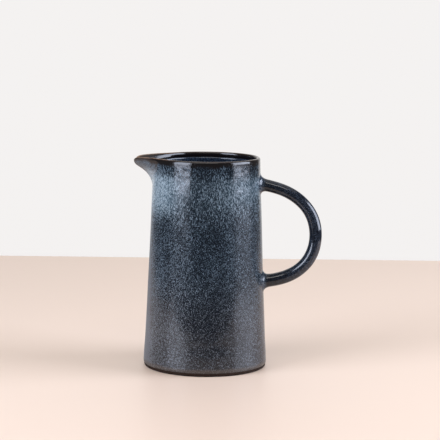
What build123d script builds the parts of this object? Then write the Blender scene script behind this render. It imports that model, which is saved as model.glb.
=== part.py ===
from build123d import *
import math
import os

# Stoneware pitcher with a pulled spout and an ear-shaped rod handle. Millimetres, +Z up.
# The origin is the centre of the foot ring, on the surface that the pitcher stands on.
# The spout points to -X and the handle to +X, so the XZ plane is the plane of symmetry.

# Driving dimensions, measured on the glazed surface
height = 190.0  # foot to the crest of the lip
footRadius = 55.5  # widest part of the outside, just above the foot
shoulderRadius = 49.0  # outside, where the spout starts to leave the wall
mouthRadius = 48.0  # outside, at the lip
wallThickness = 4.4  # clay and both glaze coats, just above the floor
lipThickness = 3.4  # clay and both glaze coats, at the rim
floorTop = 9.0  # inside floor above the standing surface
floorRound = 8.0  # inside corner between floor and wall
outerCoat = 0.5  # thickness of the outer glaze
innerCoat = 0.4  # thickness of the liner glaze
handleCoat = 0.4  # thickness of the glaze on the handle
overrun = 8.0  # how far the pot's outer forms run past the rim before the crest is cut
innerOverrun = 7.0  # the same for its inner forms, which end lower than the outer ones
formSections = 34  # outlines a form is lofted through, from the bottom up
sectionCrowding = 0.6  # how much closer together they lie at the rim than at the foot
outlineSteps = 27  # points of an outline, from the spout's tip round to the handle side
outlineCrowding = 0.82  # how much closer together they lie at the tip than at the handle

# Foot
bareFoot = 3.0  # height of the unglazed band above the standing surface
footRound = 1.6  # rounding of the foot's outer edge
footRingWidth = 6.0  # width of the flat ring that touches the table
footRecess = 2.0  # depth of the recess inside the ring

# Outside of the pot: radius, height. Nearly straight taper that flares gently into the foot.
wallProfile = [
    (footRadius - 0.1, 0.0), (footRadius, 8.0), (54.5, 26.0), (53.7, 45.0), (52.2, 80.0), (50.5, 120.0),
    (shoulderRadius, 160.0), (48.35, 178.0), (mouthRadius, height), (mouthRadius, height + overrun),
]

# Spout, on its plane of symmetry: distance out from the axis, height
spoutStart = 163.0  # height at which the spout begins to leave the round wall
spoutUnder = [
    (49.9, 167.0), (51.6, 171.0), (54.1, 174.5), (57.3, 177.5), (61.5, 180.3), (66.6, 183.6),
    (88.2, height + overrun),
]
spoutTrough = [
    (46.1, 167.0), (48.2, 171.5), (51.2, 176.0), (55.4, 180.0), (61.0, 183.9), (67.6, 188.0),
    (83.7, height + overrun),
]
tipRound = 5.0  # rounding of the spout's outline seen from above, outside
troughRound = 2.6  # the same, inside
levelCoat = 1.3  # a coat on the sloping spout, measured level, as a multiple of its thickness
dividerInset = 1.6  # level distance from the spout's underside to the surface between the two coats
dividerRound = 3.8  # rounding of that surface's outline at the spout
dividerFloor = 6.0  # height of that surface under the inside floor
crestLine = [
    (20.0, height), (36.0, height), (46.0, 189.9), (53.0, 189.5), (58.0, 188.7), (61.2, 187.4),
    (63.4, 185.6), (64.4, 183.4), (64.7, 178.0),
]
lipRound = 1.2  # rounding of the lip's two edges in the glaze; the clay below is rounded a coat less

# Handle, as points of its middle line in the XZ plane, from the upper joint round to the lower one
handleLine = [
    (44.0, 167.6), (57.2, 164.9), (71.2, 160.6), (84.1, 152.7), (94.3, 140.3),
    (98.9, 122.0), (93.2, 99.6), (81.4, 87.5), (66.6, 81.0), (46.0, 77.6),
]
handleUpperRadius = 5.3  # glazed rod at the upper joint
handleLowerRadius = 5.8  # glazed rod at the lower joint
handleSections = 15  # round sections that carry the rod along its line

# Slip collars that lute the handle to the wall: where the rod's middle line meets the wall, and
# the collar's tilt, which is less than the rod's, so that its rim lies flat on the wall
upperJoint = (48.8, 166.7)
upperTilt = -3.0
lowerJoint = (52.2, 78.5)
lowerTilt = 3.0
slipReach = 6.2  # how far the collar spreads along the rod
slipSpread = 4.8  # how far it spreads over the wall, past the rod
slipHollow = 0.3  # how hollow its fillet is: its middle lies this share of both spreads from the corner
slipSink = 1.0  # how far its fillet starts inside the round wall, so that its sides meet it too
slipFeather = 0.8  # how far its fillet ends below the rod's surface, so that it runs out smoothly
slipDepth = 8.0  # how far the collar's form runs into the wall before it is cut to it


def curveAt(points, z):
    """Distance at height z on a smooth curve through (distance, height) points, listed upwards."""
    last = len(points) - 1
    rises = [points[i + 1][1] - points[i][1] for i in range(last)]
    slopes = [(points[i + 1][0] - points[i][0]) / rises[i] for i in range(last)]
    tangents = [slopes[0]]
    for i in range(1, last):
        weighted = slopes[i - 1] * rises[i] + slopes[i] * rises[i - 1]
        tangents.append(weighted / (rises[i - 1] + rises[i]))
    tangents.append(slopes[-1])
    i = max(k for k in range(last) if k == 0 or points[k][1] <= z)
    t = (z - points[i][1]) / rises[i]
    start = (2 * t**3 - 3 * t**2 + 1) * points[i][0] + (t**3 - 2 * t**2 + t) * rises[i] * tangents[i]
    end = (3 * t**2 - 2 * t**3) * points[i + 1][0] + (t**3 - t**2) * rises[i] * tangents[i + 1]
    return start + end


def thickness(z):
    """Wall thickness, which thins evenly from the floor to the lip."""
    share = min(max((z - floorTop) / (height - floorTop), 0.0), 1.0)
    return wallThickness + (lipThickness - wallThickness) * share


def outlineRadius(turn, radius, tip, nose):
    """Distance from the axis, turn radians from the spout, of a circle with a rounded beak.

    The beak's two flanks are straight lines that touch both the wall's circle and a small nose circle.
    """
    middle = tip - nose
    inset = radius - nose
    if middle <= inset:
        return radius
    touch = math.acos(inset / middle)
    if turn >= touch:
        return radius
    noseTurn = math.atan2(nose * math.sin(touch), middle + nose * math.cos(touch))
    if turn >= noseTurn:
        return radius / math.cos(turn - touch)
    return middle * math.cos(turn) + math.sqrt(nose**2 - (middle * math.sin(turn)) ** 2)


def outline(z, radius, tip, nose):
    """Closed smooth outline at height z; its points lie closest together round the spout's tip."""
    half = []
    for k in range(outlineSteps + 1):
        share = k / outlineSteps
        half.append(180 * ((1 - outlineCrowding) * share + outlineCrowding * share**2))
    turns = half + [360 - turn for turn in reversed(half[:-1])]
    points = []
    for turn in turns[:-1]:
        reach = outlineRadius(math.radians(min(turn, 360 - turn)), radius, tip, nose)
        points.append((-reach * math.cos(math.radians(turn)), reach * math.sin(math.radians(turn)), z))
    return Wire([Edge.make_spline(points, periodic=True, parameters=turns)])


def potForm(inset, tipPoints, tipInset, nose, bottom, top, corner):
    """Solid form of the pot, lofted through its outlines from the bottom to the top.

    inset(z) is how far its wall lies inside the glazed outside at height z. The loft's outlines
    lie closer together towards the rim, and corner is the rounding of its bottom edge.
    """
    startRadius = curveAt(wallProfile, spoutStart) - inset(spoutStart)
    tipCurve = [(startRadius, spoutStart)] + [(distance - tipInset, z) for distance, z in tipPoints]
    outlines = []
    for k in range(formSections + 1):
        share = k / formSections
        z = bottom + (top - bottom) * ((1 + sectionCrowding) * share - sectionCrowding * share**2)
        radius = curveAt(wallProfile, z) - inset(z)
        tip = curveAt(tipCurve, z) if z > spoutStart else radius
        outlines.append(outline(z, radius, tip, nose))
    form = Solid.make_loft(outlines)
    return fillet(form.edges().sort_by(Axis.Z)[0], corner)


def crestCutter(lower):
    """Everything above the lip's crest line and beyond the spout's tip, drawn in by one coat."""
    far = footRadius + overrun
    line = Spline((far, 0, height - lower), *[(lower - d, 0, z - lower) for d, z in crestLine])
    roof = height + 3 * overrun
    beyond = -2 * far
    rest = Polyline(line @ 1, (beyond, 0, (line @ 1).Z), (beyond, 0, roof), (far, 0, roof), line @ 0)
    return extrude(make_face(line + rest), far, both=True)


def roundedLip(pot, radius):
    """The pot with both edges of its crest rounded."""
    crest = [face for face in pot.faces() if face.geom_type == GeomType.EXTRUSION]
    edges = [edge for face in crest for edge in face.edges()]
    single = [e for e in edges if sum((e.center() - o.center()).length < 0.01 for o in edges) == 1]
    return fillet(single, radius)


def footHollow():
    """Recess under the floor, inside the foot ring, with a sloping side."""
    inner = wallProfile[0][0] - outerCoat - footRound - footRingWidth
    profile = Polyline((0, 0, -1), (inner, 0, -1), (inner, 0, 0), (inner - footRecess, 0, footRecess),
                       (0, 0, footRecess), close=True)
    return revolve(make_face(profile), Axis.Z)


def handleRod(coat):
    """Round rod along the handle's middle line, its surface a coat inside the glazed one."""
    line = Spline(*[(x, 0, z) for x, z in handleLine])
    sections = []
    for k in range(handleSections):
        share = k / (handleSections - 1)
        blend = share**2 * (3 - 2 * share)
        radius = handleUpperRadius + (handleLowerRadius - handleUpperRadius) * blend - coat
        place = Plane(origin=line @ share, x_dir=(0, 1, 0), z_dir=line % share)
        sections.append(place * Circle(radius))
    return loft(sections)


def slipForm(joint, tilt, rodRadius, coat):
    """Round collar with a hollow fillet, at the joint of the rod, running into the wall."""
    inner = rodRadius - coat
    outer = inner + slipSpread
    start = -slipSink - coat
    end = start + slipReach
    waist = (start + slipHollow * slipReach, inner + slipHollow * slipSpread)
    hollow = ThreePointArc((start, outer), waist, (end, inner - slipFeather))
    rest = Polyline(hollow @ 1, (end, 0), (-slipDepth, 0), (-slipDepth, outer), hollow @ 0)
    collar = revolve(make_face(hollow + rest), Axis.X)
    turn = math.radians(tilt)
    along = (math.cos(turn), 0, math.sin(turn))
    return Plane(origin=(joint[0], 0, joint[1]), x_dir=along, z_dir=(0, -1, 0)) * collar


# Forms that neighbouring pieces share, so that they meet face to face
outerTop = height + overrun
innerTop = height + innerOverrun
glazeOut = potForm(lambda z: 0.0, spoutUnder, 0.0, tipRound, 0.0, outerTop, footRound)
clayOut = potForm(lambda z: outerCoat, spoutUnder, levelCoat * outerCoat, tipRound - outerCoat,
                  0.0, outerTop, footRound)
divider = potForm(lambda z: thickness(z) / 2, spoutUnder, dividerInset, dividerRound,
                  dividerFloor, innerTop, floorRound)
clayIn = potForm(lambda z: thickness(z) - innerCoat, spoutTrough, -levelCoat * innerCoat,
                 troughRound + innerCoat, floorTop - innerCoat, innerTop, floorRound)
glazeIn = potForm(thickness, spoutTrough, 0.0, troughRound, floorTop, innerTop, floorRound)
glazedPot = roundedLip(glazeOut - glazeIn - crestCutter(0.0), lipRound)
clayPot = roundedLip(clayOut - clayIn - crestCutter(innerCoat), lipRound - innerCoat)
clayRod = handleRod(handleCoat)
upperForm = slipForm(upperJoint, upperTilt, handleUpperRadius, handleCoat)
lowerForm = slipForm(lowerJoint, lowerTilt, handleLowerRadius, handleCoat)
coat = glazedPot - clayPot - Pos(0, 0, bareFoot / 2) * Box(3 * footRadius, 3 * footRadius, bareFoot)


def body():
    """Stoneware pot: wall, floor, pulled spout and bare foot with its recess."""
    return clayPot - footHollow()


def handle():
    """Stoneware rod with both ends cut to the wall."""
    return clayRod - clayOut


def upper_handle_slip():
    """Collar of slip round the handle's upper end."""
    return upperForm - clayRod - clayOut


def lower_handle_slip():
    """Collar of slip round the handle's lower end."""
    return lowerForm - clayRod - clayOut


def outer_glaze():
    """Coat on the outside, open where the handle and its collars join the clay."""
    return coat - divider - clayRod - upperForm - lowerForm


def inner_glaze():
    """Liner coat, from the lip's crest down over the floor."""
    return coat & divider


def handle_glaze():
    """Coat on the handle and its collars."""
    glazed = handleRod(0.0) + slipForm(upperJoint, upperTilt, handleUpperRadius, 0.0)
    glazed += slipForm(lowerJoint, lowerTilt, handleLowerRadius, 0.0)
    return glazed - clayRod - upperForm - lowerForm - glazeOut


os.makedirs("parts", exist_ok=True)
pieces = [body, handle, upper_handle_slip, lower_handle_slip, outer_glaze, inner_glaze, handle_glaze]
for piece in pieces:
    shape = piece()
    print(piece.__name__, round(shape.volume), shape.is_valid, len(shape.solids()), len(shape.faces()))
    export_step(shape, f"parts/{piece.__name__}.step")
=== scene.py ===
import math

import bpy
import numpy as np
from mathutils import Matrix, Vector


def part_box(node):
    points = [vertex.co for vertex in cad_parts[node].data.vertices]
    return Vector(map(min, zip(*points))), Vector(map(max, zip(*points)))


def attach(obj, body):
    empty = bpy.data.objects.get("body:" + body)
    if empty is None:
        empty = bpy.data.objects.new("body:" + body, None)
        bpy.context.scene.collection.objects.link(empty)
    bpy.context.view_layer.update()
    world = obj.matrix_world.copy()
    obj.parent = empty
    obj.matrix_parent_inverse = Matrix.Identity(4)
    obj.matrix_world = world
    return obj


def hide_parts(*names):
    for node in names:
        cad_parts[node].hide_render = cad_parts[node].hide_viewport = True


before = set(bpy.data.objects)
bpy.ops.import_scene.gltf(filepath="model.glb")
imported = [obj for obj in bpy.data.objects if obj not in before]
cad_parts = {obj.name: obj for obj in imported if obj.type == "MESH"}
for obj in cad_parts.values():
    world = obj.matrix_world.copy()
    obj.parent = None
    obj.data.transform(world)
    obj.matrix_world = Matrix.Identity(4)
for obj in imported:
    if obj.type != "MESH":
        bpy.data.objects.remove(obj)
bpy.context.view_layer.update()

# Stoneware pitcher: a clay pot with a pulled spout, a rod handle, and glaze coats over both.
# Metres, +Z up, spout to -X, handle to +X. The lip, the foot and the inside floor are placed by the
# CAD boxes; the other sizes stand in one dictionary for each piece, and match the CAD's own.

mm = 0.001
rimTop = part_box("outer_glaze")[1].z  # crest of the lip
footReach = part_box("outer_glaze")[1].x  # widest part of the outside, just above the foot
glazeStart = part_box("outer_glaze")[0].z  # height of the bare foot
linerCoat = 0.4 * mm  # liner's thickness on the floor
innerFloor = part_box("inner_glaze")[0].z + linerCoat  # liner's surface on the floor
print("frame loaded", round(rimTop, 4), round(footReach, 4))


def curveAt(points, z):  # smooth cubic through (distance, height) points, read at heights z
    reach = np.array([p[0] for p in points])
    level = np.array([p[1] for p in points])
    rise = np.diff(level)
    slope = np.diff(reach) / rise
    inside = (slope[:-1] * rise[1:] + slope[1:] * rise[:-1]) / (rise[:-1] + rise[1:])
    tangent = np.concatenate([slope[:1], inside, slope[-1:]])
    i = np.clip(np.searchsorted(level, z, side="right") - 1, 0, len(rise) - 1)
    t = (z - level[i]) / rise[i]
    start = (2 * t**3 - 3 * t**2 + 1) * reach[i] + (t**3 - 2 * t**2 + t) * rise[i] * tangent[i]
    return start + (3 * t**2 - 2 * t**3) * reach[i + 1] + (t**3 - t**2) * rise[i] * tangent[i + 1]


def splineThrough(points, count):
    # natural cubic spline on chord length: count points, unit tangents and path lengths
    p = np.array(points, float)
    knots = np.concatenate([[0], np.cumsum(np.linalg.norm(np.diff(p, axis=0), axis=1))])
    h = np.diff(knots)
    n = len(p)
    system = np.eye(n)
    right = np.zeros_like(p)
    inner = np.arange(1, n - 1)
    system[inner, inner] = 2 * (h[:-1] + h[1:])
    system[inner, inner - 1] = h[:-1]
    system[inner, inner + 1] = h[1:]
    steps = np.diff(p, axis=0) / h[:, None]
    right[1:-1] = 6 * np.diff(steps, axis=0)
    bend = np.linalg.solve(system, right)
    s = np.linspace(0, knots[-1], count)
    i = np.clip(np.searchsorted(knots, s, side="right") - 1, 0, n - 2)
    a, b = (knots[i + 1] - s)[:, None], (s - knots[i])[:, None]
    w = h[i][:, None]
    line = (bend[i] * a**3 + bend[i + 1] * b**3) / (6 * w)
    line += (p[i] / w - bend[i] * w / 6) * a + (p[i + 1] / w - bend[i + 1] * w / 6) * b
    tangent = np.gradient(line, s, axis=0)
    return line, tangent / np.linalg.norm(tangent, axis=1, keepdims=True), s


def smooth(low, high, x):  # 0 below low, 1 above high, eased between
    t = np.clip((x - low) / (high - low), 0, 1)
    return t * t * (3 - 2 * t)


def gridNormals(rings):  # across the columns, round each ring, from the differences of neighbours
    along = np.gradient(rings, axis=0)
    around = np.roll(rings, -1, axis=1) - np.roll(rings, 1, axis=1)
    n = np.cross(around, along)
    return n / np.maximum(np.linalg.norm(n, axis=2, keepdims=True), 1e-12)


def ringMesh(name, rings, firstPole=None, lastPole=None, loop=False, values=None):
    # rings[row, column] are closed rings; poles close the ends with fans,
    # and loop joins the last ring to the first
    rows, cols = rings.shape[:2]
    verts = rings.reshape(-1, 3)
    index = np.arange(rows * cols).reshape(rows, cols)
    upper = index if loop else index[:-1]
    lower = np.roll(index, -1, axis=0) if loop else index[1:]
    quads = np.stack([upper, np.roll(upper, -1, 1), np.roll(lower, -1, 1), lower], -1).reshape(-1, 4)
    fans = []
    for pole, ring, turned in ((firstPole, index[0], True), (lastPole, index[-1], False)):
        if pole is None:
            continue
        verts = np.vstack([verts, pole])
        top = np.full(cols, len(verts) - 1)
        pair = (np.roll(ring, -1), ring) if turned else (ring, np.roll(ring, -1))
        fans.append(np.stack([pair[0], pair[1], top], -1))
    triangles = np.vstack(fans) if fans else np.zeros((0, 3), int)
    corners = np.vstack([quads[:, [0, 1, 2]], quads[:, [0, 2, 3]], triangles])
    first, second, third = (verts[corners[:, k]] for k in range(3))
    volume = np.einsum("ij,ij->i", first, np.cross(second, third)).sum()
    if volume < 0:  # faces point outwards
        quads, triangles = quads[:, ::-1], triangles[:, ::-1]
    loops = np.concatenate([quads.ravel(), triangles.ravel()])
    starts = np.concatenate([np.arange(len(quads)) * 4, len(quads) * 4 + np.arange(len(triangles)) * 3])
    mesh = bpy.data.meshes.new(name)
    mesh.vertices.add(len(verts))
    mesh.vertices.foreach_set("co", verts.astype(np.float32).ravel())
    mesh.loops.add(len(loops))
    mesh.loops.foreach_set("vertex_index", loops.astype(np.int32))
    mesh.polygons.add(len(starts))
    mesh.polygons.foreach_set("loop_start", starts.astype(np.int32))
    mesh.update(calc_edges=True)
    mesh.validate()
    for key, grid in (values or {}).items():  # one number per vertex, poles take the nearest ring's
        flat = grid.reshape(-1)
        extra = [grid[0, 0]] * (firstPole is not None) + [grid[-1, 0]] * (lastPole is not None)
        attribute = mesh.attributes.new(key, "FLOAT", "POINT")
        attribute.data.foreach_set("value", np.concatenate([flat, extra]).astype(np.float32))
    mesh.shade_smooth()
    piece = bpy.data.objects.new(name, mesh)
    bpy.context.scene.collection.objects.link(piece)
    print("made", name, len(verts), "vertices")
    return piece


pot = {
    "columns": 300,
    "wallRows": 120,  # up the outside
    "lipRows": 16,
    "innerRows": 70,  # down the inside
    "floorRows": 18,
    "profile": [  # outside radius, height
        (footReach, glazeStart), (footReach + 0.05 * mm, 8 * mm), (54.5 * mm, 26 * mm),
        (53.7 * mm, 45 * mm), (52.2 * mm, 80 * mm), (50.5 * mm, 120 * mm), (49 * mm, 160 * mm),
        (48.35 * mm, 178 * mm), (48 * mm, rimTop),
    ],
    "floorWall": 4.4 * mm,  # wall thickness just above the floor
    "lipWall": 3.4 * mm,
    "spoutStart": 163 * mm,
    "under": [  # spout's underside on the plane of symmetry: reach, height
        (49.9 * mm, 167 * mm), (51.6 * mm, 171 * mm), (54.1 * mm, 174.5 * mm),
        (57.3 * mm, 177.5 * mm), (61.5 * mm, 180.3 * mm), (66.6 * mm, 183.6 * mm), (76.4 * mm, rimTop),
    ],
    "trough": [  # spout's inside on the same plane
        (46.1 * mm, 167 * mm), (48.2 * mm, 171.5 * mm), (51.2 * mm, 176 * mm),
        (55.4 * mm, 180 * mm), (61 * mm, 183.9 * mm), (67.6 * mm, 188 * mm), (71 * mm, rimTop + 1 * mm),
    ],
    "nose": 5 * mm,  # rounding of the spout's outline from above, outside and inside
    "troughNose": 2.6 * mm,
    "flankHollow": 0.045,  # hollow of the spout's flanks, as a share of its reach
    "lipRise": 1.7 * mm,  # crest above where the lip starts to round over
    "floorRound": 8 * mm,
    "coat": 0.45 * mm,  # glaze thickness
    "unevenness": 0.07 * mm,  # hand-turned wall
    "turningRings": 0.08,  # fine rings, as a share of the unevenness
    "ringPitch": 9 * mm,
    "gather": 0.22 * mm,  # roll of glaze above the bare foot
    "gatherRise": 2.2 * mm,
    "gatherWidth": 1.9 * mm,
    "seatOutside": [(5.7, 5.5), (1.2, 20)],  # dips of the wall's top at the spout: millimetres, degrees
    "seatInside": [(3.1, 5), (0.9, 20)],
    "bareEdge": 0.3 * mm,  # first row of the outside, above the bare foot
    "ringsEnd": (0.16, 0.14),  # heights between which the fine rings fade out
    "unevenEnd": (0.175, 0.15),
    "lipPull": 0.8,  # fullness of the lip's rounding
    "floorDish": 0.35 * mm,
}


def beakOutline(turn, radius, tip, nose):
    # reach at an angle from the spout: a circle, and two flanks touching it and a small nose circle;
    # the flanks are hollowed by a share of the spout's reach times a squared sine along them
    middle = np.maximum(tip - nose, radius - nose + 1e-7)
    touch = np.arccos(np.clip((radius - nose) / middle, -1, 1))
    noseTurn = np.arctan2(nose * np.sin(touch), middle + nose * np.cos(touch))
    along = np.clip((turn - noseTurn) / np.maximum(touch - noseTurn, 1e-6), 0, 1)
    hollow = pot["flankHollow"] * (tip - radius) * np.sin(math.pi * along) ** 2
    flank = radius / np.maximum(np.cos(turn - touch), 0.1) - hollow
    front = middle * np.cos(turn) + np.sqrt(np.maximum(nose**2 - (middle * np.sin(turn)) ** 2, 0))
    return np.where(turn >= touch, radius, np.where(turn >= noseTurn, flank, front))


def tipLine(points, wallReach, z):  # spout's reach on the plane of symmetry, nothing below its start
    spout = curveAt([(wallReach, pot["spoutStart"])] + points, z)
    return np.where(z > pot["spoutStart"], spout, 0)


def outsideReach(turn, z):
    radius = curveAt(pot["profile"], z)
    start = float(curveAt(pot["profile"], np.array(pot["spoutStart"])))
    tip = np.maximum(tipLine(pot["under"], start, z), radius)
    return beakOutline(turn, radius, tip, pot["nose"])


def wallThickness(z):
    share = np.clip((z - innerFloor) / (rimTop - innerFloor), 0, 1)
    return pot["floorWall"] + (pot["lipWall"] - pot["floorWall"]) * share


def insideReach(turn, z):
    radius = curveAt(pot["profile"], z) - wallThickness(z)
    begin = np.array(pot["spoutStart"])
    start = float(curveAt(pot["profile"], begin) - wallThickness(begin))
    tip = np.maximum(tipLine(pot["trough"], start, z), radius)
    return beakOutline(turn, radius, tip, pot["troughNose"])


def potSurface():
    # profile carried round the axis: up the outside, over the lip as a cubic, down the inside,
    # round a quarter circle and over the floor
    half = np.linspace(0, 1, pot["columns"] // 2 + 1)
    half = math.pi * (0.3 * half + 0.7 * half**2)  # columns lie closer together round the spout
    turn = np.concatenate([half, 2 * math.pi - half[-2:0:-1]])
    fold = np.minimum(turn, 2 * math.pi - turn)
    degrees = np.degrees(fold)
    drop = rimTop - pot["lipRise"]
    seatOut = drop - sum(deep * np.exp(-(degrees / wide) ** 2) for deep, wide in pot["seatOutside"]) * mm
    seatIn = drop - sum(deep * np.exp(-(degrees / wide) ** 2) for deep, wide in pot["seatInside"]) * mm

    share = np.linspace(0, 1, pot["wallRows"])[:, None]
    share = 1.35 * share - 0.35 * share**2  # rows lie closer together towards the lip
    wallZ = glazeStart + pot["bareEdge"] + (seatOut - glazeStart - pot["bareEdge"]) * share
    wallR = outsideReach(fold[None, :], wallZ)
    roll = np.exp(-((wallZ - glazeStart - pot["gatherRise"]) / pot["gatherWidth"]) ** 2)
    # two slow waves lean round the pot as it rises, and a fine ring climbs once for each pitch
    turned = np.sin(2 * turn + 0.7 + 55 * wallZ) + 0.7 * np.sin(3 * turn + 2.1 - 80 * wallZ)
    rings = np.sin(2 * math.pi * wallZ / pot["ringPitch"] + turn) * smooth(*pot["ringsEnd"], wallZ)
    uneven = pot["unevenness"] * (turned + pot["turningRings"] * rings)
    wallR = wallR + pot["gather"] * roll + uneven * smooth(*pot["unevenEnd"], wallZ)

    innerShare = np.linspace(0, 1, pot["innerRows"])[:, None]
    innerShare = 0.5 * innerShare + 0.5 * innerShare**1.6
    cornerZ = innerFloor + pot["floorRound"]
    innerZ = seatIn + (cornerZ - seatIn) * innerShare
    innerR = insideReach(fold[None, :], innerZ)

    def tangent(r, z):
        t = np.stack([r[1] - r[0], z[1] - z[0]])
        return t / np.linalg.norm(t, axis=0)

    a = np.stack([wallR[-1], wallZ[-1]])
    b = np.stack([innerR[0], innerZ[0]])
    pull = pot["lipPull"] * np.linalg.norm(a - b, axis=0)
    a1 = a + pull * tangent(wallR[-2:], wallZ[-2:])
    b1 = b + pull * tangent(innerR[1::-1], innerZ[1::-1])
    t = np.linspace(0, 1, pot["lipRows"] + 2)[1:-1, None, None]
    lip = (1 - t) ** 3 * a + 3 * t * (1 - t) ** 2 * a1 + 3 * t**2 * (1 - t) * b1 + t**3 * b

    bend = np.linspace(0, math.pi / 2, 10)[1:, None]
    centre = innerR[-1] - pot["floorRound"]
    cornerR = centre + pot["floorRound"] * np.cos(bend)
    cornerZs = cornerZ - pot["floorRound"] * np.sin(bend) + 0 * cornerR
    inwards = np.linspace(1, 0, pot["floorRows"])[1:-1, None]
    floorR = centre * inwards
    floorZ = innerFloor - pot["floorDish"] * (1 - inwards**2) + 0 * floorR

    reach = np.vstack([wallR, lip[:, 0], innerR, cornerR, floorR])
    level = np.vstack([wallZ, lip[:, 1], innerZ, cornerZs, floorZ])
    return np.stack([-reach * np.cos(turn), reach * np.sin(turn), level], -1)


surface = potSurface()
normals = gridNormals(surface)
middleRow = pot["wallRows"] // 2
outwards = np.sign((normals[middleRow, :, :2] * surface[middleRow, :, :2]).sum())
clay = surface - outwards * normals * pot["coat"]
steps = np.linalg.norm(np.diff(surface, axis=0), axis=2)
length = np.vstack([np.zeros((1, surface.shape[1])), np.cumsum(steps, axis=0)])
crestRow = pot["wallRows"] + pot["lipRows"] // 2
fromLip = length - length[crestRow]  # negative on the outside, positive inside
seamRow = pot["wallRows"] + pot["lipRows"] + 3  # liner starts just inside the lip
print("pot surface", surface.shape)


def shellBetween(name, rows, edge, values):
    # a coat: the glazed rows, and the clay rows below them back again, joined into one closed shell
    outer, inner = surface[rows], clay[rows][::-3]
    first = (outer[:1] + inner[-1:]) / 2 + np.array([0, 0, -edge])
    rings = np.concatenate([first, outer, inner])
    grids = {}
    for key, grid in values.items():
        grids[key] = np.concatenate([grid[rows][:1], grid[rows], grid[rows][::-3]])
    return ringMesh(name, rings, loop=True, values=grids)


def makeOuterCoat():
    return shellBetween("outer_glaze_coat", slice(0, seamRow), 0.25 * mm, {"fromLip": fromLip})


def makeLiner():
    top, under = surface[seamRow - 1:], clay[seamRow - 1:][::-1]
    rings = np.concatenate([top[::-1], under[::-1]])
    values = {"fromLip": np.concatenate([fromLip[seamRow - 1:][::-1], fromLip[seamRow - 1:]])}
    centreTop = np.array([0, 0, top[-1, 0, 2]])
    centreUnder = np.array([0, 0, under[0, 0, 2]])
    return ringMesh("liner_glaze_coat", rings, centreTop, centreUnder, values=values)


foot = {
    "round": 1.7 * mm,
    "ringWidth": 6 * mm,
    "recess": 2 * mm,
    "softening": 0.5 * mm,
    "innermost": 4 * mm,  # smallest ring before the middle point
}


def makePot():
    # clay pot: the coat's clay side, then down round the foot, across its ring and up into the recess
    turn = np.arctan2(clay[0, :, 1], -clay[0, :, 0])
    start = np.linalg.norm(clay[0, :, :2], axis=1)
    bend = np.linspace(0, math.pi / 2, 9)[:, None]
    edgeR = start - foot["round"] * (1 - np.cos(bend))
    edgeZ = foot["round"] * (1 - np.sin(bend)) + 0 * edgeR
    contact = edgeR[-1].mean()
    inner = contact - foot["ringWidth"]
    soft = foot["softening"]
    deep = foot["recess"]
    well = inner - deep  # edge of the recess's flat ceiling
    path = [(contact - 1.5 * mm, 0), (inner + soft, 0), (inner, 0.12 * mm), (inner - soft, soft),
            (well, deep - soft), (well - soft, deep - 0.1 * mm), (well - 2 * soft, deep)]
    path += [(r, deep) for r in np.linspace(well - 4 * soft, foot["innermost"], 14)]
    underR = np.array([r for r, _ in path])[:, None] + 0 * edgeR[:1]
    underZ = np.array([z for _, z in path])[:, None] + 0 * edgeR[:1]
    reach, level = np.vstack([edgeR, underR])[::-1], np.vstack([edgeZ, underZ])[::-1]
    below = np.stack([-reach * np.cos(turn), reach * np.sin(turn), level], -1)
    rings = np.concatenate([below, clay])
    underPole = np.array([0, 0, deep])
    floorPole = np.array([0, 0, clay[-1, 0, 2]])
    return ringMesh("stoneware_pot", rings, underPole, floorPole)


handle = {
    "line": [  # middle line in the XZ plane, from the upper joint round to the lower one
        (44 * mm, 167.6 * mm), (57.2 * mm, 164.9 * mm), (71.2 * mm, 160.6 * mm), (84.1 * mm, 152.7 * mm),
        (94.3 * mm, 140.3 * mm), (98.9 * mm, 122 * mm), (93.2 * mm, 99.6 * mm), (81.4 * mm, 87.5 * mm),
        (66.6 * mm, 81 * mm), (46 * mm, 77.6 * mm),
    ],
    "upperRadius": 5.35 * mm,
    "lowerRadius": 5.85 * mm,
    "around": 72,
    "tubeRows": 170,
    "filletRows": 14,
    "reach": 6.6 * mm,  # fillet's length along the rod
    "spread": 5.4 * mm,  # and over the wall
    "sink": 0.1 * mm,  # fillet's edge below the wall's surface
    "coat": 0.38 * mm,
    "ripples": [(0.008, 95, 0.6), (0.006, 211, 0)],  # swellings of the rod: share, radians per metre, start
}


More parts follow.
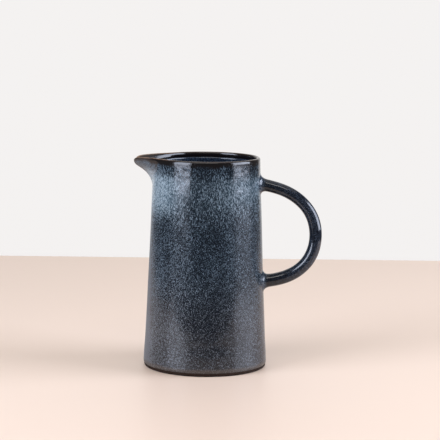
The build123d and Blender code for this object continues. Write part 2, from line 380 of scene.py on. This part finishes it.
def makeHandleCoat():
    # circle carried along the middle line; at each end a quadratic fillet runs from the rod onto the wall
    line2d, tangent2d, s = splineThrough(handle["line"], 900)
    line = np.stack([line2d[:, 0], 0 * s, line2d[:, 1]], -1)
    ahead = np.stack([tangent2d[:, 0], 0 * s, tangent2d[:, 1]], -1)
    side = np.array([0, 1.0, 0])
    out = np.cross(ahead, side)
    share = smooth(0, 1, s / s[-1])
    radius = handle["upperRadius"] + (handle["lowerRadius"] - handle["upperRadius"]) * share
    radius = radius * sum((swell * np.sin(s * pace + begin) for swell, pace, begin in handle["ripples"]), 1)
    around = np.linspace(0, 2 * math.pi, handle["around"], endpoint=False)
    ring = np.cos(around)[None, :, None] * out[:, None] + np.sin(around)[None, :, None] * side
    rod = line[:, None] + radius[:, None, None] * ring
    reach = np.linalg.norm(rod[..., :2], axis=2)
    clear = reach > curveAt(pot["profile"], rod[..., 2])  # outside the wall
    columns = np.arange(handle["around"])
    first = np.argmax(clear, axis=0)
    last = len(s) - 1 - np.argmax(clear[::-1], axis=0)

    def at(where):  # points of the rod at a path length of its own for each column
        index = np.clip(where / s[-1] * (len(s) - 1), 0, len(s) - 1.001)
        low = index.astype(int)
        part = (index - low)[..., None]
        return rod[low, columns] * (1 - part) + rod[low + 1, columns] * part

    def filletRings(hit, towards):
        meeting = rod[hit, columns]  # where the rod meets the wall
        middle = meeting.mean(axis=0)
        wall = meeting * np.array([1, 1, 0])
        wall = wall / np.linalg.norm(wall, axis=1, keepdims=True)
        away = meeting - middle
        away = away - (away * wall).sum(1, keepdims=True) * wall
        away = away / np.linalg.norm(away, axis=1, keepdims=True)
        end = meeting + handle["spread"] * away
        onWall = curveAt(pot["profile"], end[:, 2]) - handle["sink"]
        end[:, :2] *= (onWall / np.linalg.norm(end[:, :2], axis=1))[:, None]
        start = at(s[hit] + towards * handle["reach"])
        t = np.linspace(0, 1, handle["filletRows"])[:, None, None]
        return (1 - t) ** 2 * end + 2 * t * (1 - t) * meeting + t**2 * start

    upper = filletRings(first, 1)
    lower = filletRings(last, -1)[::-1]
    begin, finish = s[first] + handle["reach"], s[last] - handle["reach"]
    between = np.linspace(0, 1, handle["tubeRows"])[1:-1, None]
    tube = at(begin + (finish - begin) * between)
    skin = np.concatenate([upper, tube, lower])
    n = gridNormals(skin)
    centreLine = skin.mean(axis=1, keepdims=True)
    facing = np.sign(((skin - centreLine) * n)[len(skin) // 2].sum())
    under = (skin - facing * n * handle["coat"])[::-2]
    rings = np.concatenate([skin, under])
    fromWall = np.linalg.norm(rings[..., :2], axis=2) - curveAt(pot["profile"], rings[..., 2])
    return ringMesh("handle_glaze_coat", rings, loop=True, values={"fromWall": fromWall})


def newMaterial(name):
    material = bpy.data.materials.new(name)
    material.use_nodes = True
    tree = material.node_tree
    tree.nodes.clear()
    shader = tree.nodes.new("ShaderNodeBsdfPrincipled")
    output = tree.nodes.new("ShaderNodeOutputMaterial")
    tree.links.new(shader.outputs[0], output.inputs[0])
    return material, tree, shader


def node(tree, kind, settings=None, **inputs):
    made = tree.nodes.new(kind)
    for key, value in (settings or {}).items():
        setattr(made, key, value)
    for key, value in inputs.items():
        socket = made.inputs[int(key[1:])] if key[0] == "i" and key[1:].isdigit() else made.inputs[key]
        if isinstance(value, bpy.types.NodeSocket):
            tree.links.new(value, socket)
        else:
            socket.default_value = value
    return made


def maths(tree, operation, a, b=0.0, c=0.0):
    return node(tree, "ShaderNodeMath", {"operation": operation}, i0=a, i1=b, i2=c).outputs[0]


def ramp(tree, value, low, high, toLow=0.0, toHigh=1.0):  # eased map between two limits
    eased = {"interpolation_type": "SMOOTHSTEP"}
    made = node(tree, "ShaderNodeMapRange", eased, i0=value, i1=low, i2=high, i3=toLow, i4=toHigh)
    return made.outputs[0]


def mixed(tree, share, a, b):
    made = tree.nodes.new("ShaderNodeMix")
    made.data_type = "RGBA"
    for socket, value in ((made.inputs[0], share), (made.inputs[6], a), (made.inputs[7], b)):
        if isinstance(value, bpy.types.NodeSocket):
            tree.links.new(value, socket)
        elif socket is made.inputs[0]:
            socket.default_value = value
        else:
            socket.default_value = (*value, 1)
    return made.outputs[2]


def noise(tree, vector, scale, detail=2.0, roughness=0.5, distortion=0.0):
    made = node(tree, "ShaderNodeTexNoise", None, Vector=vector, Scale=scale, Detail=detail,
                Roughness=roughness, Distortion=distortion)
    return made.outputs[0]


def stretched(tree, vector, scale, move=(0, 0, 0)):
    return node(tree, "ShaderNodeMapping", None, Vector=vector, Scale=scale, Location=move).outputs[0]


speckleShape = {
    "wander": 0.9,  # how far the crystals' outlines stray
    "noiseLow": 0.32,  # the noise runs from here up through its span
    "noiseSpan": 0.36,
    "dustFineness": 2.1,
    "dustBand": (0.42, 0.68),
    "crystalRelief": 0.7,
    "dustRelief": 0.3,
}


def speckleGroup():
    # reactive glaze: pale crystals that wander over the dark ground, and a finer dust between them
    shape = speckleShape
    group = bpy.data.node_groups.new("reactiveSpeckle", "ShaderNodeTree")
    face = group.interface
    face.new_socket("Vector", in_out="INPUT", socket_type="NodeSocketVector")
    for name, value in (("Grain", 560.0), ("Coverage", 0.5), ("Softness", 0.07)):
        face.new_socket(name, in_out="INPUT", socket_type="NodeSocketFloat").default_value = value
    for name in ("Crystals", "Dust", "Relief"):
        face.new_socket(name, in_out="OUTPUT", socket_type="NodeSocketFloat")
    start, end = group.nodes.new("NodeGroupInput"), group.nodes.new("NodeGroupOutput")
    vector, grain, coverage, softness = start.outputs[:4]
    coarse = noise(group, vector, grain, 2.0, 0.55, shape["wander"])
    threshold = maths(group, "SUBTRACT", 1.0, coverage)
    middle = maths(group, "MULTIPLY_ADD", threshold, shape["noiseSpan"], shape["noiseLow"])
    low = maths(group, "SUBTRACT", middle, softness)
    high = maths(group, "ADD", middle, softness)
    crystals = ramp(group, coarse, low, high)
    fineGrain = maths(group, "MULTIPLY", grain, shape["dustFineness"])
    dust = ramp(group, noise(group, vector, fineGrain, 1.0, 0.5, 0.3), *shape["dustBand"])
    dustRelief = maths(group, "MULTIPLY", dust, shape["dustRelief"])
    relief = maths(group, "MULTIPLY_ADD", crystals, shape["crystalRelief"], dustRelief)
    for k, value in enumerate((crystals, dust, relief)):
        group.links.new(value, end.inputs[k])
    return group


def waveGroup():
    # surface of a fired glaze: slow waves, with the crystals standing a little proud of them
    group = bpy.data.node_groups.new("glazeWave", "ShaderNodeTree")
    face = group.interface
    face.new_socket("Vector", in_out="INPUT", socket_type="NodeSocketVector")
    for name, value in (("Waves", 90.0), ("Wave Share", 1.0), ("Relief", 0.0), ("Relief Share", 0.05)):
        face.new_socket(name, in_out="INPUT", socket_type="NodeSocketFloat").default_value = value
    face.new_socket("Height", in_out="OUTPUT", socket_type="NodeSocketFloat")
    start, end = group.nodes.new("NodeGroupInput"), group.nodes.new("NodeGroupOutput")
    vector, waves, waveShare, relief, reliefShare = start.outputs[:5]
    slow = maths(group, "MULTIPLY", noise(group, vector, waves, 2.0, 0.5), waveShare)
    group.links.new(maths(group, "MULTIPLY_ADD", relief, reliefShare, slow), end.inputs[0])
    return group


speckle = speckleGroup()
glazeWave = waveGroup()


def placed(tree, group, inputs):  # a node group in a material, with the material's own values
    made = tree.nodes.new("ShaderNodeGroup")
    made.node_tree = group
    for key, value in inputs.items():
        if isinstance(value, bpy.types.NodeSocket):
            tree.links.new(value, made.inputs[key])
        else:
            made.inputs[key].default_value = value
    return made.outputs


def addSpeckle(tree, vector, look, coverage):
    inputs = {"Vector": vector, "Grain": look["grain"], "Coverage": coverage, "Softness": look["softness"]}
    return placed(tree, speckle, inputs)[:3]


def addWaves(tree, shader, place, relief, look):
    inputs = {"Vector": place, "Waves": look["waves"], "Wave Share": look["waveShare"],
              "Relief": relief, "Relief Share": look["reliefShare"]}
    height = placed(tree, glazeWave, inputs)["Height"]
    tree.links.new(bumped(tree, height, look["bumpDepth"]), shader.inputs["Normal"])


def bumped(tree, height, distance, strength=1.0):
    made = node(tree, "ShaderNodeBump", None, Height=height, Distance=distance, Strength=strength)
    return made.outputs[0]


glassIor = 1.5  # a fired glaze is glass

outerLook = {
    "ground": (0.0006, 0.0026, 0.0060),
    "crystal": (0.130, 0.180, 0.226),
    "lowCrystal": (0.142, 0.156, 0.174),
    "hazeGround": (0.030, 0.060, 0.082),
    "hazeCrystal": (0.312, 0.380, 0.418),
    "rim": (0.0050, 0.0038, 0.0042),
    "tipBrown": (0.024, 0.013, 0.008),
    "tanEdgeAndCrestHighlight": (0.210, 0.110, 0.055),  # glaze breaks tan over the spout's edge; round the rest of the crest it is a painted highlight
    "footBand": (0.062, 0.050, 0.043),
    "grain": 2000.0,
    "softness": 0.036,
    "upright": 0.48,  # grains are longer upwards than across
    "runStart": 0.135,  # height above which the glaze ran, and the grains lengthen further
    "runStretch": 0.22,
    "clouds": 28.0,
    "drips": 150.0,
    "dripSway": 0.022,  # how far the drips move the haze's lower edge
    "rimSway": 0.006,
    "coverage": (0.14, 0.29),  # crystals' share between the clouds and in them
    "spoutHaze": (0.36, 1.0),  # haze's strength from the middle out to each side
    "handleHaze": (0.0, 0.35),
    "lowLeft": (0.12, 1.0),
    "more": {  # crystals added in each place; on the lower right they are painted light from the right window
        "lowLeft": 0.12, "haze": 0.24, "paintedRightLight": 0.07, "underSpout": 0.14, "farLeft": 0.12,
    },
    "crystalShare": 0.88,
    "dustShare": 0.07,
    "spoutRim": 0.0030,  # the dark rim is this much narrower at the spout
    "tipShare": 0.6,
    "crestHighlightAndTanShare": (0.12, 0.82),  # painted highlight all round the lip's crest, and tan thin glaze added near the spout
    "dripThin": (0.3, 1.0),
    "footShare": 0.75,
    "footSway": 0.003,
    "gloss": (0.075, 0.115),  # roughness above and below
    "satin": (0.05, 0.28),  # crystals are less glossy, most of all low down
    "spoutSatin": 0.22,
    "dull": 0.10,
    "waves": 95.0,
    "waveShare": 0.7,
    "reliefShare": 0.06,
    "bumpDepth": 0.00018,
}

outerBands = {  # where each change begins and where it's complete, in metres; the spout is at -X
    "hazeHeight": (0.126, 0.156),
    "hazeBelowLip": (0.008, 0.022),
    "spoutSide": (-0.006, -0.037),
    "handleSide": (0.010, 0.036),
    "handleSideHeight": (0.140, 0.164),
    "lowHeight": (0.062, 0.040),
    "lowLeft": (-0.010, -0.034),
    "underSpout": (-0.042, -0.052),
    "underLip": (0.0025, 0.0070),
    # painted light: the lower right side, facing the right window, gets extra pale crystals
    "paintedRightLight": (0.014, 0.030),
    "paintedRightLightHeight": (0.160, 0.140),
    "farLeft": (-0.029, -0.043),
    "lowCrystals": (0.105, 0.035),
    "narrowRim": (-0.046, -0.056),
    "rim": (0.0085, 0.0045),
    "tip": (-0.046, -0.058),
    "crestLineBand": (0.0022, 0.0007),
    "thinSpout": (-0.022, -0.046),
    "foot": (0.0092, 0.0066),
    "gloss": (0.180, 0.110),
    "satin": (0.175, 0.130),
    "satinSpout": (-0.040, -0.052),
    "dullRight": (0.026, 0.042),
    "dullHeight": (0.158, 0.136),
}


def crystalCover(tree, x, z, below, drips, clouds):
    # share of the surface under crystals: clouds, and more of them in five places;
    # the pale haze below the lip is one of these and is given back too. The extra crystals low on the
    # handle side are painted light, where the right window falls.
    look, bands = outerLook, outerBands
    wavyZ = maths(tree, "MULTIPLY_ADD", maths(tree, "SUBTRACT", drips, 0.5), look["dripSway"], z)
    rise = ramp(tree, wavyZ, *bands["hazeHeight"])
    fall = ramp(tree, below, *bands["hazeBelowLip"])
    spoutSide = ramp(tree, x, *bands["spoutSide"], *look["spoutHaze"])
    handleHaze = ramp(tree, x, *bands["handleSide"], *look["handleHaze"])
    handleSide = maths(tree, "MULTIPLY", handleHaze, ramp(tree, wavyZ, *bands["handleSideHeight"]))
    sides = maths(tree, "ADD", spoutSide, handleSide)
    haze = maths(tree, "MULTIPLY", maths(tree, "MULTIPLY", rise, fall), sides)
    lowLeft = ramp(tree, x, *bands["lowLeft"], *look["lowLeft"])
    paintedRightLight = ramp(tree, x, *bands["paintedRightLight"])
    underSpout = ramp(tree, x, *bands["underSpout"])
    masks = {
        "lowLeft": maths(tree, "MULTIPLY", ramp(tree, z, *bands["lowHeight"]), lowLeft),
        "haze": haze,
        # painted light: extra pale crystals brighten the lower right side where the right window falls
        "paintedRightLight": maths(tree, "MULTIPLY", paintedRightLight, ramp(tree, z, *bands["paintedRightLightHeight"])),
        "underSpout": maths(tree, "MULTIPLY", underSpout, ramp(tree, below, *bands["underLip"])),
        "farLeft": ramp(tree, x, *bands["farLeft"]),
    }
    coverage = ramp(tree, clouds, 0.3, 0.7, *look["coverage"])
    for place, mask in masks.items():
        coverage = maths(tree, "MULTIPLY_ADD", mask, look["more"][place], coverage)
    return coverage, haze


def edgeColours(tree, colour, x, z, lip, below, drips, clouds):
    # dark rim, brown tip, tan where the glaze is thin over the spout's edge, a painted highlight along the
    # rest of the crest, and the brownish band above the foot
    look, bands = outerLook, outerBands
    ragged = maths(tree, "MULTIPLY_ADD", maths(tree, "SUBTRACT", drips, 0.5), look["rimSway"], below)
    narrow = ramp(tree, x, *bands["narrowRim"])
    edge = ramp(tree, maths(tree, "MULTIPLY_ADD", narrow, look["spoutRim"], ragged), *bands["rim"])
    colour = mixed(tree, edge, colour, look["rim"])
    brown = maths(tree, "MULTIPLY", edge, look["tipShare"])
    tip = maths(tree, "MULTIPLY", ramp(tree, x, *bands["tip"]), brown)
    colour = mixed(tree, tip, colour, look["tipBrown"])
    # painted highlight: a pale tan line along the lip's crest all round, with real thin tan glaze near the
    # spout
    crestMark = ramp(tree, maths(tree, "ABSOLUTE", lip), *bands["crestLineBand"])
    dripThin = ramp(tree, drips, 0.35, 0.60, *look["dripThin"])
    nearSpout = maths(tree, "MULTIPLY", ramp(tree, x, *bands["thinSpout"]), dripThin)
    around, spout = look["crestHighlightAndTanShare"]
    crestMark = maths(tree, "MULTIPLY", crestMark, maths(tree, "MULTIPLY_ADD", nearSpout, spout, around))
    colour = mixed(tree, crestMark, colour, look["tanEdgeAndCrestHighlight"])
    footBand = ramp(tree, maths(tree, "MULTIPLY_ADD", clouds, look["footSway"], z), *bands["foot"])
    return mixed(tree, maths(tree, "MULTIPLY", footBand, look["footShare"]), colour, look["footBand"])


def outerRoughness(tree, x, z, crystals):
    # crystals are less glossy than the ground, and so is the thin glaze of the spout
    look, bands = outerLook, outerBands
    satin = maths(tree, "MULTIPLY", crystals, ramp(tree, z, *bands["satin"], *look["satin"]))
    satin = maths(tree, "MULTIPLY_ADD", ramp(tree, x, *bands["satinSpout"]), look["spoutSatin"], satin)
    dull = maths(tree, "MULTIPLY", ramp(tree, x, *bands["dullRight"]), ramp(tree, z, *bands["dullHeight"]))
    satin = maths(tree, "MULTIPLY_ADD", dull, look["dull"], satin)
    return maths(tree, "ADD", satin, ramp(tree, z, *bands["gloss"], *look["gloss"]))


def outerGlazeMaterial():
    look = outerLook
    material, tree, shader = newMaterial("reactive_outer_glaze")
    place = node(tree, "ShaderNodeTexCoord").outputs["Object"]
    x, y, z = node(tree, "ShaderNodeSeparateXYZ", None, Vector=place).outputs[:3]
    lip = node(tree, "ShaderNodeAttribute", {"attribute_name": "fromLip"}).outputs["Fac"]
    below = maths(tree, "MULTIPLY", lip, -1.0)
    high = maths(tree, "MAXIMUM", maths(tree, "SUBTRACT", z, look["runStart"]), 0.0)
    upright = maths(tree, "MULTIPLY", z, look["upright"])
    flowZ = maths(tree, "MULTIPLY_ADD", high, -look["runStretch"], upright)
    flow = node(tree, "ShaderNodeCombineXYZ", None, X=x, Y=y, Z=flowZ).outputs[0]
    clouds = noise(tree, stretched(tree, place, (1, 1, 0.5), (0.3, 0.1, 0.2)), look["clouds"], 3.0, 0.55)
    drips = noise(tree, stretched(tree, place, (1, 1, 0.12)), look["drips"], 3.0, 0.6)

    coverage, haze = crystalCover(tree, x, z, below, drips, clouds)
    crystals, dust, relief = addSpeckle(tree, flow, look, coverage)
    low = ramp(tree, z, *outerBands["lowCrystals"])
    crystalColour = mixed(tree, low, look["crystal"], look["lowCrystal"])
    crystalColour = mixed(tree, haze, crystalColour, look["hazeCrystal"])
    ground = mixed(tree, maths(tree, "MULTIPLY", haze, haze), look["ground"], look["hazeGround"])
    solid = maths(tree, "MULTIPLY", crystals, look["crystalShare"])
    amount = maths(tree, "MULTIPLY_ADD", dust, look["dustShare"], solid)
    colour = mixed(tree, amount, ground, crystalColour)
    colour = edgeColours(tree, colour, x, z, lip, below, drips, clouds)

    tree.links.new(colour, shader.inputs["Base Color"])
    tree.links.new(outerRoughness(tree, x, z, crystals), shader.inputs["Roughness"])
    shader.inputs["IOR"].default_value = glassIor
    addWaves(tree, shader, place, relief, look)
    return material


linerLook = {
    "ground": (0.003, 0.006, 0.014),
    "crystal": (0.045, 0.068, 0.100),
    "rim": (0.0045, 0.0040, 0.0055),
    "rimBand": (0.0045, 0.0020),  # distance below the lip's crest
    "grain": 1050.0,
    "coverage": 0.38,
    "softness": 0.07,
    "crystalShare": 0.5,
    "dustShare": 0.25,
    "roughness": 0.10,
    "waves": 80.0,
    "waveShare": 1.0,
    "reliefShare": 0.05,
    "bumpDepth": 0.00025,
}


def linerMaterial():
    look = linerLook
    material, tree, shader = newMaterial("navy_liner_glaze")
    place = node(tree, "ShaderNodeTexCoord").outputs["Object"]
    lip = node(tree, "ShaderNodeAttribute", {"attribute_name": "fromLip"}).outputs["Fac"]
    flow = stretched(tree, place, (1, 1, 0.5))
    crystals, dust, relief = addSpeckle(tree, flow, look, look["coverage"])
    solid = maths(tree, "MULTIPLY", crystals, look["crystalShare"])
    amount = maths(tree, "MULTIPLY_ADD", dust, look["dustShare"], solid)
    colour = mixed(tree, amount, look["ground"], look["crystal"])
    colour = mixed(tree, ramp(tree, lip, *look["rimBand"]), colour, look["rim"])
    tree.links.new(colour, shader.inputs["Base Color"])
    shader.inputs["Roughness"].default_value = look["roughness"]
    shader.inputs["IOR"].default_value = glassIor
    addWaves(tree, shader, place, relief, look)
    return material


handleLook = {
    "ground": (0.0010, 0.0022, 0.0058),
    "crystal": (0.100, 0.128, 0.172),
    "jointGround": (0.0045, 0.0080, 0.0150),  # glaze is paler where the rod joins the wall
    "jointCrystal": (0.110, 0.145, 0.185),
    "jointBand": (0.0050, 0.0015),  # distance outside the wall
    "grain": 1350.0,
    "coverage": 0.32,
    "softness": 0.05,
    "clouds": 60.0,
    "cloudShare": (0.4, 1.2),
    "crystalShare": 0.45,
    "dustShare": 0.07,
    "jointShare": (0.1, 0.7),
    "roughness": 0.075,
    "waves": 110.0,
    "waveShare": 1.0,
    "reliefShare": 0.05,
    "bumpDepth": 0.00012,
}


def handleGlazeMaterial():
    look = handleLook
    material, tree, shader = newMaterial("dark_handle_glaze")
    place = node(tree, "ShaderNodeTexCoord").outputs["Object"]
    fromWall = node(tree, "ShaderNodeAttribute", {"attribute_name": "fromWall"}).outputs["Fac"]
    crystals, dust, relief = addSpeckle(tree, place, look, look["coverage"])
    clouds = noise(tree, place, look["clouds"], 2.0, 0.5)
    solid = maths(tree, "MULTIPLY", crystals, look["crystalShare"])
    amount = maths(tree, "MULTIPLY_ADD", dust, look["dustShare"], solid)
    amount = maths(tree, "MULTIPLY", amount, ramp(tree, clouds, 0.25, 0.75, *look["cloudShare"]))
    colour = mixed(tree, amount, look["ground"], look["crystal"])
    least, gain = look["jointShare"]
    share = maths(tree, "MULTIPLY_ADD", crystals, gain, least)
    paler = mixed(tree, share, look["jointGround"], look["jointCrystal"])
    colour = mixed(tree, ramp(tree, fromWall, *look["jointBand"]), colour, paler)
    tree.links.new(colour, shader.inputs["Base Color"])
    shader.inputs["Roughness"].default_value = look["roughness"]
    shader.inputs["IOR"].default_value = glassIor
    addWaves(tree, shader, place, relief, look)
    return material


clayLook = {
    "dark": (0.012, 0.0062, 0.0040),
    "pale": (0.027, 0.0145, 0.0092),
    "speck": (0.008, 0.006, 0.005),
    "grain": 1500.0,
    "clouds": 55.0,
    "specks": 900.0,
    "speckBand": (0.66, 0.72),
    "roughness": 0.85,
    "sheen": 0.15,
    "bumpDepth": 0.0002,
    "bumpStrength": 0.6,
}


def stonewareMaterial():
    look = clayLook
    material, tree, shader = newMaterial("bare_stoneware")
    place = node(tree, "ShaderNodeTexCoord").outputs["Object"]
    grain = noise(tree, place, look["grain"], 3.0, 0.6)
    clouds = noise(tree, place, look["clouds"], 3.0, 0.55)
    colour = mixed(tree, clouds, look["dark"], look["pale"])
    specks = ramp(tree, noise(tree, place, look["specks"], 1.0, 0.4), *look["speckBand"])
    colour = mixed(tree, specks, colour, look["speck"])
    tree.links.new(colour, shader.inputs["Base Color"])
    shader.inputs["Roughness"].default_value = look["roughness"]
    shader.inputs["Specular IOR Level"].default_value = look["sheen"]
    normal = bumped(tree, grain, look["bumpDepth"], look["bumpStrength"])
    tree.links.new(normal, shader.inputs["Normal"])
    return material


def finishPiece(piece, material, slotName, *nodes):
    piece.data.materials.append(material)
    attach(piece, "root")
    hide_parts(*nodes)


stoneware = stonewareMaterial()
finishPiece(makePot(), stoneware, "stoneware", "body")
finishPiece(makeOuterCoat(), outerGlazeMaterial(), "outer_glaze", "outer_glaze")
finishPiece(makeLiner(), linerMaterial(), "inner_glaze", "inner_glaze")
finishPiece(makeHandleCoat(), handleGlazeMaterial(), "handle_glaze", "handle_glaze")
for name in ("handle", "upper_handle_slip", "lower_handle_slip"):
    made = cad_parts[name]
    made.data.materials.clear()
    made.data.materials.append(stoneware)
print("pieces on the frame")


studio = {
    "turn": 4.8,  # degrees the table is turned, to lie square to the camera
    "tableBack": 0.62,
    "tableFront": -0.285,
    "halfWidth": 0.6,
    "wall": 1.5,
    "wallHalfWidth": 1,
    "wallLow": -1.2,
    "wallHigh": 2.4,
    "tableColour": (0.770, 0.600, 0.475),
    "tableRoughness": 0.45,
    "wallGlow": (0.895, 0.875, 0.865),
    "world": (0.13, 0.125, 0.12),
}


def standing(azimuth, distance, height):  # upright and facing the axis; azimuth 0 is -Y, 90 is +X
    turn = math.radians(azimuth)
    spot = Matrix.Translation((distance * math.sin(turn), -distance * math.cos(turn), height))
    return spot @ Matrix.Rotation(turn, 4, "Z") @ Matrix.Rotation(math.radians(90), 4, "X")


def overhead(height, lean=0):  # over the pitcher and facing its foot, swung to the front by some degrees
    return Matrix.Rotation(math.radians(lean), 4, "X") @ Matrix.Translation((0, 0, height))


def makeTable():
    wide, front, back = studio["halfWidth"], studio["tableFront"], studio["tableBack"]
    table = sheetOf("table_top", [(-wide, front, 0), (wide, front, 0), (wide, back, 0), (-wide, back, 0)])
    table.matrix_world = Matrix.Rotation(math.radians(studio["turn"]), 4, "Z")
    material, tree, shader = newMaterial("pale_table")
    shader.inputs["Base Color"].default_value = (*studio["tableColour"], 1)
    shader.inputs["Roughness"].default_value = studio["tableRoughness"]
    table.data.materials.append(material)


def makeWall():  # evenly lit pale wall
    wide, low, high = studio["wallHalfWidth"], studio["wallLow"], studio["wallHigh"]
    wall = sheetOf("back_wall", [(-wide, low, 0), (wide, low, 0), (wide, high, 0), (-wide, high, 0)])
    wall.matrix_world = standing(180 + studio["turn"], studio["wall"], 0)
    material, tree, shader = newMaterial("white_wall")
    shader.inputs["Base Color"].default_value = (0, 0, 0, 1)
    shader.inputs["Roughness"].default_value = 1
    shader.inputs["Emission Color"].default_value = (*studio["wallGlow"], 1)
    shader.inputs["Emission Strength"].default_value = 1
    wall.data.materials.append(material)


def sheetOf(name, corners):
    mesh = bpy.data.meshes.new(name)
    mesh.from_pydata(corners, [], [(0, 1, 2, 3)])
    made = bpy.data.objects.new(name, mesh)
    bpy.context.scene.collection.objects.link(made)
    return made


windowTint = (0.76, 0.83, 1.0)
lights = {  # size, power, tint and place; the windows stand round the pitcher, the others hang over it
    "window_left": ((1.0, 1.2), 36, windowTint, standing(-49, 1.5, 0.693)),
    "window_right": ((1.24, 1.2), 46, windowTint, standing(86, 1.5, 0.697)),
    "ceiling": ((3.2, 3.2), 18, (1, 0.97, 0.93), overhead(2.4)),
    "lamp_above": ((1.1, 0.3), 4.5, (1, 0.98, 0.96), overhead(1.6, 36)),
}


def areaLight(name, size, power, tint, place):
    light = bpy.data.lights.new(name, "AREA")
    light.shape = "RECTANGLE"
    light.size, light.size_y = size
    light.energy = power
    light.color = tint
    made = bpy.data.objects.new(name, light)
    made.matrix_world = place
    bpy.context.scene.collection.objects.link(made)


makeTable()
makeWall()
for name, setting in lights.items():
    areaLight(name, *setting)

world = bpy.data.worlds.new("studio")
world.use_nodes = True
world.node_tree.nodes["Background"].inputs[0].default_value = (*studio["world"], 1)
bpy.context.scene.world = world
bpy.context.scene.view_settings.view_transform = "Standard"

camera = {
    "distance": 1.645,  # level distance from the pitcher's axis
    "height": 0.358,
    "round": 5.2,  # degrees towards the handle side
    "lens": 150.3,
    "pitch": 7.79,
    "yaw": 0.43,
    "roll": 0.69,
}
lens = bpy.data.cameras.new("camera")
lens.lens = camera["lens"]
lens.sensor_width = 36
lens.clip_end = 50
cam = bpy.data.objects.new("camera", lens)
turn = math.radians(camera["round"])
away = camera["distance"]
cam.matrix_world = (
    Matrix.Translation((away * math.sin(turn), -away * math.cos(turn), camera["height"]))
    @ Matrix.Rotation(turn - math.radians(camera["yaw"]), 4, "Z")
    @ Matrix.Rotation(math.radians(90 - camera["pitch"]), 4, "X")
    @ Matrix.Rotation(math.radians(camera["roll"]), 4, "Z")
)
bpy.context.scene.collection.objects.link(cam)
bpy.context.scene.camera = cam
print("stage set")
